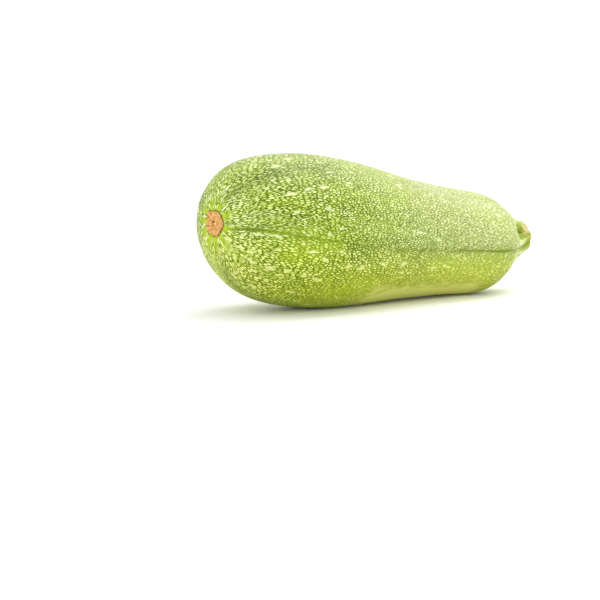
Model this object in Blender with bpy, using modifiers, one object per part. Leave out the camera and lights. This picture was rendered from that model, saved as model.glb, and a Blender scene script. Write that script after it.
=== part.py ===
"""A pale green zucchini, as picked: the fruit, its cut stem stub and the corky scar of its flower.

The fruit lies on a table top at z = 0 with its blossom end towards -X and its stem towards +X.
Each piece is first shaped round the fruit's own axis, which runs along +X from the blossom end,
and all of them are then laid down together on the fruit's belly and its stem end.
Lengths are in metres and angles in radians.
"""

import math

import bmesh
import bpy
from mathutils import Matrix, Vector

MM = 0.001

# The fruit: its length from blossom end to stem end, and its radius at shares of that length
FRUIT_LENGTH = 164 * MM
BODY_RADII = (
    (0.00, 29.6 * MM),
    (0.15, 31.6 * MM),
    (0.30, 32.7 * MM),  # the belly
    (0.45, 30.8 * MM),
    (0.60, 26.9 * MM),
    (0.72, 24.8 * MM),
    (0.84, 23.4 * MM),
    (1.00, 22.1 * MM),
)

# Each end is rounded off over this length; a higher power makes a blunter end
BLOSSOM_CAP_LENGTH = 42 * MM
BLOSSOM_CAP_POWER = 2.7
STEM_CAP_LENGTH = 27 * MM
STEM_CAP_POWER = 2.4

# The blossom end leans back, so its upper half reaches further out than its lower half
BLOSSOM_LEAN = 0.13
# The stem end turns up: how high its middle lies, and how soon that fades along the fruit
STEM_RISE = 2.0 * MM
STEM_RISE_REACH = 14 * MM

# The main grooves lie at five even angles round the fruit. The first is this far past straight
# down, towards -Y.
MAIN_GROOVES = 5
GROOVE_TURN = math.radians(9)

# Five broad ribs lie between the main grooves, each with a lesser groove along its middle
RIB_HEIGHT_AMIDSHIPS = 0.3 * MM
RIB_HEIGHT_AT_BLOSSOM = 0.6 * MM
RIB_HEIGHT_AT_STEM = 1.1 * MM
RIB_FADE = 40 * MM
RIB_CREST_SHARE = 0.25
LESSER_GROOVE_SHARE = 0.4
# A power under 1 makes the grooves narrow and the ribs between them broad
GROOVE_POWER = 0.7

# The blossom scar: an uneven pentagon with a pit in the middle, let into the blossom end. Each of
# its corners lies near the start of a main groove: its angle, from +Y towards +Z, and its radius.
SCAR_RADIUS = 6.0 * MM
SCAR_CORNERS = (
    (math.radians(49.5), 6.5 * MM),
    (math.radians(121.5), 6.1 * MM),
    (math.radians(175.5), 6.4 * MM),
    (math.radians(252.0), 5.2 * MM),
    (math.radians(324.0), 5.7 * MM),
)
# Its sides are this much of the way from round to straight
SCAR_STRAIGHTNESS = 0.8
SCAR_SEAT_DEPTH = 1.2 * MM
SCAR_RIM_HEIGHT = 0.5 * MM
SCAR_PIT_DEPTH = 0.8 * MM
# Its face from the rim to the edge of the pit: depth below the rim, and share of the full radius
SCAR_FACE = (
    (0.00 * MM, 0.86),
    (0.15 * MM, 0.62),
    (0.05 * MM, 0.42),
    (0.20 * MM, 0.22),
)
SCAR_PIT_FLOOR_SHARE = 0.11
SCAR_BACK_SHARE = 0.95

# The stem: a ribbed stub that spreads like a root where it joins the fruit, cut across at its end
STEM_PROFILE = (
    (0.0 * MM, 13.4 * MM),
    (2.0 * MM, 12.6 * MM),
    (5.0 * MM, 11.4 * MM),
    (8.0 * MM, 10.1 * MM),
    (11.0 * MM, 8.5 * MM),
    (13.5 * MM, 7.3 * MM),
    (15.7 * MM, 7.0 * MM),
    (16.3 * MM, 6.4 * MM),
)
STEM_BEND_UP = math.radians(14.5)
# The knife went through aslant, so the stub is shorter at the top
STEM_CUT_SLANT = math.radians(17)
# Its five grooves lie at uneven angles, counted from +Y towards +Z
STEM_GROOVES = tuple(math.radians(angle) for angle in (9, 81, 153, 198, 297))
STEM_GROOVE_AT_SEAT = 0.3
STEM_GROOVE_AT_CUT = 0.14
# Its cut face is dished: share of the dish's depth, and share of the cut's radius
STEM_CUT_DISH = 0.6 * MM
STEM_CUT_FACE = ((0.4, 0.7), (1.0, 0.35), (1.0, 0.0))
STEM_SEAT_MARGIN = 0.4 * MM

# The underside is flattened by this much where the fruit rests
REST_FLAT = 0.5 * MM
# Pieces that touch keep this gap
TOUCH_GAP = 0.3 * MM

# Each number of steps round is a multiple of 40, so that every groove runs along a line of points
STEPS_ROUND_FRUIT = 80
STEPS_ROUND_STEM = 40
RINGS_ALONG = 40
# Points and angles this near to each other are the same
SAME_POINT = 0.01 * MM
SAME_ANGLE = math.radians(0.1)
# Searches: how often a span is halved, and the slopes that are tried under the fruit
HALVINGS = 60
SLOPE_STEP = 0.0005
STEEPEST_SLOPE = 0.3
# Faces that meet at a sharper angle than this show an edge
SHARP_EDGE = math.radians(40)

# Colours of the three finishes
SKIN_GREEN = (0.34, 0.46, 0.09)
STEM_GREEN = (0.42, 0.48, 0.10)
CORK_TAN = (0.55, 0.30, 0.13)


def clear_scene():
    for thing in list(bpy.data.objects):
        bpy.data.objects.remove(thing, do_unlink=True)


def smooth_through(points, place):
    """Height at place of a smooth curve through (place, height) points."""
    last = len(points) - 1

    def slope(i):
        before, after = points[max(i - 1, 0)], points[min(i + 1, last)]
        return (after[1] - before[1]) / (after[0] - before[0])

    i = max(0, min(last - 1, sum(1 for p in points if p[0] <= place) - 1))
    (x0, y0), (x1, y1) = points[i], points[i + 1]
    width = x1 - x0
    t = max(0.0, min(1.0, (place - x0) / width))
    rise = (3 - 2 * t) * t * t
    ease_out = t * (1 - t) ** 2 * width * slope(i)
    ease_in = -t * t * (1 - t) * width * slope(i + 1)
    return y0 + (y1 - y0) * rise + ease_out + ease_in


def rounded_end(distance, cap_length, power):
    """Share of the full radius at a distance in from the tip of a rounded end."""
    inward = max(0.0, min(1.0, distance / cap_length))
    return (1 - (1 - inward) ** power) ** (1 / power)


def fruit_radius(along):
    """Radius of the fruit, without its ribs, at a distance from the blossom end."""
    body = smooth_through(BODY_RADII, along / FRUIT_LENGTH)
    blossom_end = rounded_end(along, BLOSSOM_CAP_LENGTH, BLOSSOM_CAP_POWER)
    stem_end = rounded_end(FRUIT_LENGTH - along, STEM_CAP_LENGTH, STEM_CAP_POWER)
    return body * blossom_end * stem_end


def where_radius_is(radius, tip, inside):
    """Distance along the fruit, between its tip and a place inside, at which it has this radius."""
    for _ in range(HALVINGS):
        middle = (tip + inside) / 2
        if fruit_radius(middle) < radius:
            tip = middle
        else:
            inside = middle
    return inside


# Where along the fruit the seats of the scar and of the stem are let in
SCAR_SEAT = where_radius_is(SCAR_RADIUS + TOUCH_GAP, 0, BLOSSOM_CAP_LENGTH)
STEM_SEAT = where_radius_is(
    STEM_PROFILE[0][1] + STEM_SEAT_MARGIN, FRUIT_LENGTH, FRUIT_LENGTH - STEM_CAP_LENGTH
)


def from_main_groove(angle):
    """Angle round the fruit, counted from the first main groove."""
    return angle + math.pi / 2 + GROOVE_TURN


def between_grooves(angle, count):
    """Nought in each of count grooves, rising steeply to 1 halfway between two of them."""
    return abs(math.sin(count * from_main_groove(angle) / 2)) ** GROOVE_POWER


def rib_height(along):
    """How far the ribs stand out: least amidships, more towards either end."""
    to_stem = FRUIT_LENGTH - along
    more_at_blossom = (RIB_HEIGHT_AT_BLOSSOM - RIB_HEIGHT_AMIDSHIPS) * math.exp(-along / RIB_FADE)
    more_at_stem = (RIB_HEIGHT_AT_STEM - RIB_HEIGHT_AMIDSHIPS) * math.exp(-to_stem / RIB_FADE)
    return RIB_HEIGHT_AMIDSHIPS + more_at_blossom + more_at_stem


def rib_relief(angle, along, radius):
    """Height of the ribs over the plain turned form, less where the fruit is thin."""
    fullness = min(1.0, radius / (0.5 * BODY_RADII[-1][1]))
    main = between_grooves(angle, MAIN_GROOVES)
    lesser = between_grooves(angle, 2 * MAIN_GROOVES)
    section = (1 - LESSER_GROOVE_SHARE) * main + LESSER_GROOVE_SHARE * lesser
    return fullness * rib_height(along) * (section - 1 + RIB_CREST_SHARE)


def pentagon(angle):
    """Share of the scar's mean radius round an uneven pentagon with soft corners."""
    count = len(SCAR_CORNERS)
    behind = min(range(count), key=lambda corner: (angle - SCAR_CORNERS[corner][0]) % math.tau)
    start, near = SCAR_CORNERS[behind]
    end, far = SCAR_CORNERS[(behind + 1) % count]
    width = (end - start) % math.tau
    turn = (angle - start) % math.tau
    straight = near * far * math.sin(width) / (near * math.sin(turn) + far * math.sin(width - turn))
    round_side = near + (far - near) * turn / width
    return (round_side + SCAR_STRAIGHTNESS * (straight - round_side)) / SCAR_RADIUS


def between_stem_grooves(angle):
    """Nought in each of the stem's grooves, rising steeply to 1 halfway to the next one."""
    past = min((angle - groove) % math.tau for groove in STEM_GROOVES)
    ahead = min((groove - angle) % math.tau for groove in STEM_GROOVES)
    if min(past, ahead) < SAME_ANGLE:
        return 0.0
    return math.sin(math.pi * past / (past + ahead)) ** GROOVE_POWER


def stem_section(angle, along):
    """Share of the full radius round the stem: ribs with grooves that are deepest at the seat."""
    to_cut = min(1.0, along / STEM_PROFILE[-1][0])
    depth = STEM_GROOVE_AT_SEAT + (STEM_GROOVE_AT_CUT - STEM_GROOVE_AT_SEAT) * to_cut**0.5
    return 1 - depth * (1 - between_stem_grooves(angle))


def turned(name, profile, steps):
    """A bmesh turned round the X axis by a Screw modifier, from (along, radius) points."""
    line = bpy.data.meshes.new(name + "_profile")
    edges = [(i, i + 1) for i in range(len(profile) - 1)]
    line.from_pydata([(along, 0.0, radius) for along, radius in profile], edges, [])
    holder = bpy.data.objects.new(name + "_profile", line)
    bpy.context.scene.collection.objects.link(holder)
    screw = holder.modifiers.new("turn", "SCREW")
    screw.axis = "X"
    screw.steps = steps
    screw.render_steps = steps
    screw.use_merge_vertices = True
    screw.merge_threshold = SAME_POINT
    solid = holder.evaluated_get(bpy.context.evaluated_depsgraph_get()).to_mesh()
    bm = bmesh.new()
    bm.from_mesh(solid)
    bpy.data.objects.remove(holder, do_unlink=True)
    bmesh.ops.remove_doubles(bm, verts=bm.verts, dist=SAME_POINT)
    bmesh.ops.recalc_face_normals(bm, faces=bm.faces)
    return bm


def polar(vert):
    """Radius and angle of a vertex round the X axis."""
    return math.hypot(vert.co.y, vert.co.z), math.atan2(vert.co.z, vert.co.y)


def set_radius(vert, radius):
    """Moves a vertex straight out from, or in towards, the X axis."""
    out = Vector((0, vert.co.y, vert.co.z)).normalized()
    vert.co.y = out.y * radius
    vert.co.z = out.z * radius


def stem_end_height(along):
    """How far the fruit's middle is raised at a distance along it."""
    return STEM_RISE * math.exp((along - FRUIT_LENGTH) / STEM_RISE_REACH)


def bend_ends(vert, along):
    """Leans the blossom end back, and turns the stem end up, at a vertex of the turned form."""
    lean = BLOSSOM_LEAN * max(0.0, 1 - along / BLOSSOM_CAP_LENGTH)
    vert.co.x -= lean * vert.co.z
    vert.co.z += stem_end_height(along)


def fruit_bmesh():
    # Rings lie closer together towards the ends, as on a sphere
    first = math.acos(1 - 2 * SCAR_SEAT / FRUIT_LENGTH)
    last = math.acos(1 - 2 * STEM_SEAT / FRUIT_LENGTH)
    turns = [first + (last - first) * i / (RINGS_ALONG - 1) for i in range(RINGS_ALONG)]
    rings = [FRUIT_LENGTH * (1 - math.cos(turn)) / 2 for turn in turns]
    seat_floor = SCAR_SEAT + SCAR_SEAT_DEPTH
    seat_radius = SCAR_RADIUS + TOUCH_GAP
    profile = [(seat_floor, 0), (seat_floor, seat_radius)]
    profile += [(along, fruit_radius(along)) for along in rings]
    profile += [(STEM_SEAT, 0)]
    bm = turned("fruit", profile, STEPS_ROUND_FRUIT)
    for vert in bm.verts:
        along = vert.co.x
        radius, angle = polar(vert)
        if 0 < radius < seat_radius + SAME_POINT and along < FRUIT_LENGTH / 2:
            set_radius(vert, SCAR_RADIUS * pentagon(angle) + TOUCH_GAP)
        elif radius > 0 and along < STEM_SEAT - SAME_POINT:
            set_radius(vert, radius + rib_relief(angle, along, radius))
        bend_ends(vert, along)
    return bm


def scar_bmesh():
    """A thin corky plug: raised rim, sunken middle, and a pit where the flower's style stood."""
    front = SCAR_SEAT - SCAR_RIM_HEIGHT
    back = SCAR_SEAT + SCAR_SEAT_DEPTH - TOUCH_GAP
    pit_floor = front + SCAR_PIT_DEPTH
    profile = [(back, 0), (back, SCAR_BACK_SHARE * SCAR_RADIUS), (SCAR_SEAT, SCAR_RADIUS)]
    profile += [(front + depth, share * SCAR_RADIUS) for depth, share in SCAR_FACE]
    profile += [(pit_floor, SCAR_PIT_FLOOR_SHARE * SCAR_RADIUS), (pit_floor, 0)]
    bm = turned("blossom_scar", profile, STEPS_ROUND_FRUIT)
    for vert in bm.verts:
        along = vert.co.x
        radius, angle = polar(vert)
        if radius > 0:
            # The pit stays round, and the outline is the pentagon
            to_rim = min(1.0, radius / SCAR_RADIUS)
            set_radius(vert, radius * (1 - to_rim * (1 - pentagon(angle))))
        bend_ends(vert, along)
    return bm


def stem_bmesh():
    cut, cut_radius = STEM_PROFILE[-1]
    profile = [(0, 0), *STEM_PROFILE]
    profile += [(cut - deep * STEM_CUT_DISH, share * cut_radius) for deep, share in STEM_CUT_FACE]
    bm = turned("stem", profile, STEPS_ROUND_STEM)
    for vert in bm.verts:
        along = vert.co.x
        radius, angle = polar(vert)
        if radius > 0:
            set_radius(vert, radius * stem_section(angle, along))
        to_cut = min(1.0, along / cut) ** 2
        vert.co.x -= math.tan(STEM_CUT_SLANT) * (vert.co.z + cut_radius) * to_cut
        vert.co.z += math.tan(STEM_BEND_UP) * along
    bm.transform(Matrix.Translation((STEM_SEAT + TOUCH_GAP, 0, stem_end_height(STEM_SEAT))))
    return bm


def centre_of_mass(bm):
    """Centre of mass of a closed bmesh, summed over the tetrahedra from the origin to its faces."""
    volume, moment = 0.0, Vector()
    for a, b, c in (tuple(loop.vert.co for loop in tri) for tri in bm.calc_loop_triangles()):
        wedge = a.dot(b.cross(c)) / 6
        volume += wedge
        moment += wedge * (a + b + c) / 4
    return moment / volume


def resting_slope(fruit):
    """Slope of the table against the fruit's axis: of all lines under it, the highest below its weight."""
    weight_at = centre_of_mass(fruit).x
    points = [(vert.co.x, vert.co.z) for vert in fruit.verts]

    def height_below_weight(slope):
        return min(z - slope * (x - weight_at) for x, z in points)

    steps = round(STEEPEST_SLOPE / SLOPE_STEP)
    slopes = (step * SLOPE_STEP for step in range(-steps, steps + 1))
    return max(slopes, key=height_below_weight)


def lay_down(pieces):
    """Turns and moves the pieces together until the fruit rests on z = 0, centred on the origin."""
    fruit = pieces["fruit"]
    turn = Matrix.Rotation(math.atan(resting_slope(fruit)), 4, "Y")
    for bm in pieces.values():
        bm.transform(turn)
    points = [vert.co for bm in pieces.values() for vert in bm.verts]
    middle_x = (min(p.x for p in points) + max(p.x for p in points)) / 2
    middle_y = (min(p.y for p in points) + max(p.y for p in points)) / 2
    lowest = min(p.z for p in points)
    shift = Matrix.Translation((-middle_x, -middle_y, -lowest - REST_FLAT))
    for bm in pieces.values():
        bm.transform(shift)
    for vert in fruit.verts:
        vert.co.z = max(vert.co.z, 0.0)


def material(name, colour, roughness):
    mat = bpy.data.materials.new(name)
    mat.use_nodes = True
    mat.diffuse_color = (*colour, 1)
    shader = mat.node_tree.nodes["Principled BSDF"]
    shader.inputs["Base Color"].default_value = (*colour, 1)
    shader.inputs["Roughness"].default_value = roughness
    shader.inputs["Metallic"].default_value = 0.0
    return mat


def add_piece(name, bm, mat, collection, parent):
    bmesh.ops.triangulate(bm, faces=bm.faces)
    mesh = bpy.data.meshes.new(name)
    bm.to_mesh(mesh)
    bm.free()
    mesh.materials.append(mat)
    mesh.shade_smooth()
    mesh.set_sharp_from_angle(angle=SHARP_EDGE)
    piece = bpy.data.objects.new(name, mesh)
    collection.objects.link(piece)
    piece.parent = parent


def main():
    clear_scene()
    collection = bpy.data.collections.new("zucchini")
    bpy.context.scene.collection.children.link(collection)
    whole = bpy.data.objects.new("zucchini_origin", None)
    collection.objects.link(whole)

    pieces = {"fruit": fruit_bmesh(), "stem": stem_bmesh(), "blossom_scar": scar_bmesh()}
    lay_down(pieces)
    finishes = {
        "fruit": material("pale_green_skin", SKIN_GREEN, roughness=0.42),
        "stem": material("stem_green", STEM_GREEN, roughness=0.6),
        "blossom_scar": material("dry_cork", CORK_TAN, roughness=0.85),
    }
    for name, bm in pieces.items():
        add_piece(name, bm, finishes[name], collection, whole)


main()
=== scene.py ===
# %% [markdown]
# # A pale green zucchini
#
# One zucchini, as picked, lies on a pale studio floor. It has three organs: the fruit, the stub of
# its stalk and the corky scar that the flower left. The model that this script loads has all three
# at their true size, but plain. This lesson gives each one the surface of the living thing.
#
# Every piece starts as a copy of its plain solid, because the size and the place are then right
# without any measuring. The copy is a cage, and a subdivision surface makes it fine and smooth.

import math

import bpy
import numpy as np
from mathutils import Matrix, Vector, noise


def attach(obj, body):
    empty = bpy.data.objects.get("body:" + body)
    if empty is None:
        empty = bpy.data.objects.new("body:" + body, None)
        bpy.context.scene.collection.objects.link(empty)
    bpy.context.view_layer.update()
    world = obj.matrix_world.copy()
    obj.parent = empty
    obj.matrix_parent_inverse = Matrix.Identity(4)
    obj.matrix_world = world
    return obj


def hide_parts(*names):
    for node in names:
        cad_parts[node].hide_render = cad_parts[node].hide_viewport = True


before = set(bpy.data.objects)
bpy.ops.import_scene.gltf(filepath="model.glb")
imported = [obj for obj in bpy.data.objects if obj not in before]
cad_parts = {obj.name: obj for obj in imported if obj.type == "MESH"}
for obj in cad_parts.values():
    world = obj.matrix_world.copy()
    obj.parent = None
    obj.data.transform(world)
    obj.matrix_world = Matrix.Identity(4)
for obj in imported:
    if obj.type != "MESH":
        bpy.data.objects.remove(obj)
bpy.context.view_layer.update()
MM = 0.001

# %% [markdown]
# ## The camera
#
# The photographer stood a metre away, a little above the fruit, with the blossom end towards the
# lens. A long lens keeps the fruit's far end from shrinking. The camera could be aimed with a
# constraint, but directions worked out from two angles are easier to read and to correct.

# %% The camera
CAMERA_AZIMUTH = math.radians(-38.1)
CAMERA_ELEVATION = math.radians(6.9)
CAMERA_DISTANCE = 1.001
CAMERA_LENS = 138.2
LOOK_AT = Vector((0, 0, 34 * MM))
FRUIT_LEFT_OF_MIDDLE = 33.2 * MM
FRUIT_ABOVE_MIDDLE = 33.1 * MM

camera_right = Vector((math.cos(CAMERA_AZIMUTH), math.sin(CAMERA_AZIMUTH), 0))
camera_back = Vector((
    math.sin(CAMERA_AZIMUTH) * math.cos(CAMERA_ELEVATION),
    -math.cos(CAMERA_AZIMUTH) * math.cos(CAMERA_ELEVATION),
    math.sin(CAMERA_ELEVATION),
))
camera_up = camera_back.cross(camera_right)
aim = LOOK_AT - camera_right * FRUIT_LEFT_OF_MIDDLE - camera_up * FRUIT_ABOVE_MIDDLE
bpy.ops.object.camera_add(location=aim + camera_back * CAMERA_DISTANCE)
camera = bpy.context.object
camera.name = "camera"
camera.rotation_euler = (-camera_back).to_track_quat("-Z", "Y").to_euler()
camera.data.lens = CAMERA_LENS
camera.data.sensor_width = 36
bpy.context.scene.camera = camera
print("the camera stands at", [round(place, 3) for place in camera.location], "m")

# %% [markdown]
# ## The studio
#
# A fruit photographed for a catalogue lies on white that has no edge to see. A disc so wide that
# its rim lies far behind does this, with a room of the same white above it. The disc is extruded
# down, so that the floor is a slab and not a sheet without thickness.

# %% A white floor
FLOOR_RADIUS = 9.0
FLOOR_THICKNESS = 0.05
FLOOR_SIDES = 96

bpy.ops.object.select_all(action="DESELECT")
bpy.ops.mesh.primitive_circle_add(vertices=FLOOR_SIDES, radius=FLOOR_RADIUS, fill_type="NGON")
floor = bpy.context.object
floor.name = "white_floor"
bpy.ops.object.mode_set(mode="EDIT")
bpy.ops.mesh.extrude_region_move(TRANSFORM_OT_translate={"value": (0, 0, -FLOOR_THICKNESS)})
bpy.ops.mesh.select_all(action="SELECT")
bpy.ops.mesh.normals_make_consistent(inside=False)
bpy.ops.object.mode_set(mode="OBJECT")
print("the floor is", round(floor.dimensions.x, 1), "m across")

# %% [markdown]
# ## Nodes as formulas
#
# Each material below is a small calculation. A few helpers write it: they add a node, ease a value
# between two limits, do arithmetic, mix two colours and make soft noise. Nodes could be placed by
# hand in the editor, but a line of code for each step is easier to follow.

# %% Node helpers
def new_material(name):
    """A new material, with its tree and its shader."""
    material = bpy.data.materials.new(name)
    material.use_nodes = True
    return material, material.node_tree, material.node_tree.nodes["Principled BSDF"]


def add(tree, kind, inputs=None, **settings):
    """Adds a node, and gives each named input a value or a link."""
    node = tree.nodes.new(kind)
    for setting, value in settings.items():
        setattr(node, setting, value)
    for name, value in (inputs or {}).items():
        if isinstance(value, bpy.types.NodeSocket):
            tree.links.new(value, node.inputs[name])
        else:
            node.inputs[name].default_value = value
    return node


def ease(tree, value, low, high, start=0.0, end=1.0):
    """Eases from start, where value is low, to end, where value is high."""
    limits = {"Value": value, "From Min": low, "From Max": high, "To Min": start, "To Max": end}
    return add(tree, "ShaderNodeMapRange", limits, interpolation_type="SMOOTHSTEP").outputs[0]


def calculate(tree, operation, first, second=0.0):
    """One step of arithmetic."""
    return add(tree, "ShaderNodeMath", {0: first, 1: second}, operation=operation).outputs[0]


def mix(tree, amount, first, second, blend="MIX"):
    """Mixes two colours: the node's inputs 6 and 7, and its output 2."""
    node = add(tree, "ShaderNodeMix", data_type="RGBA", blend_type=blend, clamp_factor=True)
    for socket, value in ((node.inputs[0], amount), (node.inputs[6], first), (node.inputs[7], second)):
        if isinstance(value, bpy.types.NodeSocket):
            tree.links.new(value, socket)
        else:
            socket.default_value = value
    return node.outputs[2]


def cloud(tree, place, size, detail=2.0, roughness=0.5):
    """Soft noise with lumps of a size, in metres. It runs from about 0.25 to 0.75."""
    inputs = {"Vector": place, "Scale": 1 / size, "Detail": detail, "Roughness": roughness}
    return add(tree, "ShaderNodeTexNoise", inputs).outputs["Fac"]


def srgb(red, green, blue):
    """A colour as the eye sees it, from 0 to 255, made the linear colour that a shader takes."""
    parts = [part / 255 for part in (red, green, blue)]
    return (*[((p + 0.055) / 1.055) ** 2.4 if p > 0.04 else p / 12.92 for p in parts], 1.0)


# %% White paper for the floor
PAPER_SHADED = srgb(250, 250, 250)
PAPER_WHITE = srgb(252, 252, 252)

paper, tree, shader = new_material("white_paper")
place = add(tree, "ShaderNodeTexCoord").outputs["Object"]
fibres = cloud(tree, place, 4 * MM, detail=4)
colour = mix(tree, ease(tree, fibres, 0.3, 0.7), PAPER_SHADED, PAPER_WHITE)
tree.links.new(colour, shader.inputs["Base Color"])
shader.inputs["Roughness"].default_value = 0.9
floor.data.materials.append(paper)
print("the paper has", len(tree.nodes), "nodes")

# %% [markdown]
# ## Light
#
# Fruit on white is lit from all round, so nothing is in deep shade: the room itself glows, one very
# large lamp hangs above the fruit and to the right, and another stands low, left of the camera.
# Small lamps would print hard bright spots on the skin. Large ones leave only a soft pale sheen.

# %% Lamps and room light
def soft_lamp(name, place, size, power):
    """A square lamp that faces the fruit."""
    bpy.ops.object.light_add(type="AREA", location=place)
    lamp = bpy.context.object
    lamp.name = name
    lamp.data.shape = "SQUARE"
    lamp.data.size = size
    lamp.data.energy = power
    lamp.rotation_euler = (LOOK_AT - Vector(place)).to_track_quat("-Z", "Y").to_euler()
    return lamp


soft_lamp("lamp_above", place=(0.6, 0.1, 1.1), size=1.0, power=9)
soft_lamp("lamp_front", place=(-1.1, -0.8, 0.3), size=0.9, power=7.5)

world = bpy.data.worlds.new("room")
bpy.context.scene.world = world
world.use_nodes = True
room = world.node_tree.nodes["Background"]
room.inputs["Color"].default_value = (1, 1, 1, 1)
room.inputs["Strength"].default_value = 1.06
bpy.context.scene.view_settings.view_transform = "Standard"
print("the room is lit by", len(bpy.data.lights), "lamps and its own glow")

# %% [markdown]
# ## Copies of the plain solids
#
# A plain solid arrives as loose triangles. Its copy is merged into one skin, and pairs of triangles
# are joined back into the four-sided faces that a subdivision surface likes. New solids could be
# modelled instead, but a copy keeps every size of the plain one.

# %% Copying a plain solid
SAME_POINT = 0.01 * MM
# Two triangles are joined when their fold is flatter than this and their corners less skewed
LARGEST_FOLD = math.radians(60)
MOST_SKEW = math.radians(120)


def take(piece):
    """Makes a piece the only selected one, and the active one."""
    bpy.ops.object.select_all(action="DESELECT")
    piece.select_set(True)
    bpy.context.view_layer.objects.active = piece


def copy_of(node, name):
    """A copy of a plain solid, merged and made of quads."""
    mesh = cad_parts[node].data.copy()
    mesh.materials.clear()
    piece = bpy.data.objects.new(name, mesh)
    bpy.context.scene.collection.objects.link(piece)
    take(piece)
    bpy.ops.mesh.customdata_custom_splitnormals_clear()
    bpy.ops.object.mode_set(mode="EDIT")
    bpy.ops.mesh.select_all(action="SELECT")
    bpy.ops.mesh.remove_doubles(threshold=SAME_POINT)
    bpy.ops.mesh.mark_sharp(clear=True)
    bpy.ops.mesh.tris_convert_to_quads(face_threshold=LARGEST_FOLD, shape_threshold=MOST_SKEW)
    bpy.ops.object.mode_set(mode="OBJECT")
    quads = sum(1 for face in mesh.polygons if len(face.vertices) == 4)
    print(name, "has", len(mesh.vertices), "points,", quads, "quads and",
          len(mesh.polygons) - quads, "triangles")
    return piece


def coordinates(piece):
    """The places of a piece's points, as rows of x, y and z."""
    places = np.empty(len(piece.data.vertices) * 3)
    piece.data.vertices.foreach_get("co", places)
    return places.reshape(-1, 3)


def place_points(piece, places):
    """Moves a piece's points to new places."""
    piece.data.vertices.foreach_set("co", places.ravel())
    piece.data.update()


def store(piece, name, values):
    """Keeps a number, or three, for each point, under a name that a material or a later step reads."""
    values = np.asarray(values, float)
    kind = "FLOAT_VECTOR" if values.ndim == 2 else "FLOAT"
    layer = piece.data.attributes.get(name) or piece.data.attributes.new(name, kind, "POINT")
    layer.data.foreach_set("vector" if values.ndim == 2 else "value", values.ravel())


def read(piece, name):
    """The stored numbers of a piece's points."""
    layer = piece.data.attributes[name]
    wide = layer.data_type == "FLOAT_VECTOR"
    values = np.empty(len(piece.data.vertices) * (3 if wide else 1))
    layer.data.foreach_get("vector" if wide else "value", values)
    return values.reshape(-1, 3) if wide else values


skin = copy_of("fruit", "fruit_skin")

# %% [markdown]
# ## Where a point lies on the fruit
#
# Two numbers say where a point of the skin lies: how far it is from the scar, measured over the
# skin, and its direction round the fruit. They could be read off x, y and z, but the fruit isn't
# straight: its axis slopes, its blossom end leans back and its stem end turns up. So every point
# is first set back into the fruit's own frame, where its rings are upright and almost round. The
# direction is kept as a cosine and a sine, because an angle jumps where its circle closes.

# %% The fruit's own frame
# The flat seats of the scar and of the stem lie this far from the blossom tip
SCAR_SEAT_IN = 1.44 * MM
STEM_SEAT_IN = 160.04 * MM
# The blossom end leans back: by this slope at the tip, fading to nought over this length
LEAN = 0.13
LEAN_REACH = 42 * MM
# The stem end turns up by this much at its tip, and by less over this distance before it
STEM_RISE = 2.0 * MM
STEM_RISE_REACH = 14 * MM
FRUIT_LENGTH = 164 * MM
# A face looks towards the stem when its normal has more than this of X in it
MOSTLY_X = 0.9
# What lies this close to the plane of the stem's seat is part of the seat
SEAT_LEVEL = 0.05 * MM


def stem_rise(from_tip):
    """How far the middle of the fruit is raised."""
    return STEM_RISE * np.exp((from_tip - FRUIT_LENGTH) / STEM_RISE_REACH)


side = np.array((0.0, 1.0, 0.0))
facing_stem = [face for face in skin.data.polygons if face.normal.x > MOSTLY_X]
seat_face = max(facing_stem, key=lambda face: face.area)
axis = np.array(seat_face.normal)
up = np.cross(axis, side)
skin_places = coordinates(skin)
above_seat = (skin_places - np.array(seat_face.center)) @ axis
seat_edge = skin_places[np.abs(above_seat) < SEAT_LEVEL]
seat_centre = np.array(seat_face.center)
for way in (side, up):
    reach = (seat_edge - seat_centre) @ way
    seat_centre = seat_centre + way * (reach.min() + reach.max()) / 2
print("the fruit's axis slopes down by", round(math.degrees(math.asin(-axis[2])), 1), "degrees")


def on_fruit(places):
    """For each place: how far from the tip, how far from the axis, and in which direction."""
    offsets = places - seat_centre
    ahead = offsets @ axis + STEM_SEAT_IN
    height = offsets @ up + stem_rise(STEM_SEAT_IN)
    # The lean moved a point by its height and by how near the tip it was, so this divides it out
    upright = (ahead + LEAN * height) / (1 + LEAN * height / LEAN_REACH)
    from_tip = np.where(upright < LEAN_REACH, upright, ahead)
    height = height - stem_rise(from_tip)
    return from_tip, np.hypot(offsets @ side, height), np.arctan2(height, offsets @ side)


# %% How far along the skin
# Nearer the axis than this, a point at the level of the scar's seat lies in that seat
SEAT_RADIUS = 8 * MM
STATION = 0.2 * MM

from_tip, radius, directions = on_fruit(skin_places)
# The upper half is enough, and the underside is flattened where the fruit rests
upper_half = directions > 0
off_the_seat = (radius > SEAT_RADIUS) | (from_tip < SCAR_SEAT_IN / 2)
outside = upper_half & off_the_seat & (radius > MM)
stations = np.unique(np.round(from_tip[outside] / STATION)) * STATION
radii = [radius[outside & (np.abs(from_tip - station) < STATION)].mean() for station in stations]
steps = np.hypot(np.diff(stations), np.diff(radii))
travelled = np.concatenate(((0.0,), np.cumsum(steps)))
STEM_EDGE = travelled[-1]
stem_seat_radius = radii[-1]
print("from scar to stem the skin measures", round(STEM_EDGE / MM, 1), "mm, in", len(stations), "rings")
print("the stem's seat is", round(stem_seat_radius / MM, 2), "mm in radius")


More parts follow.
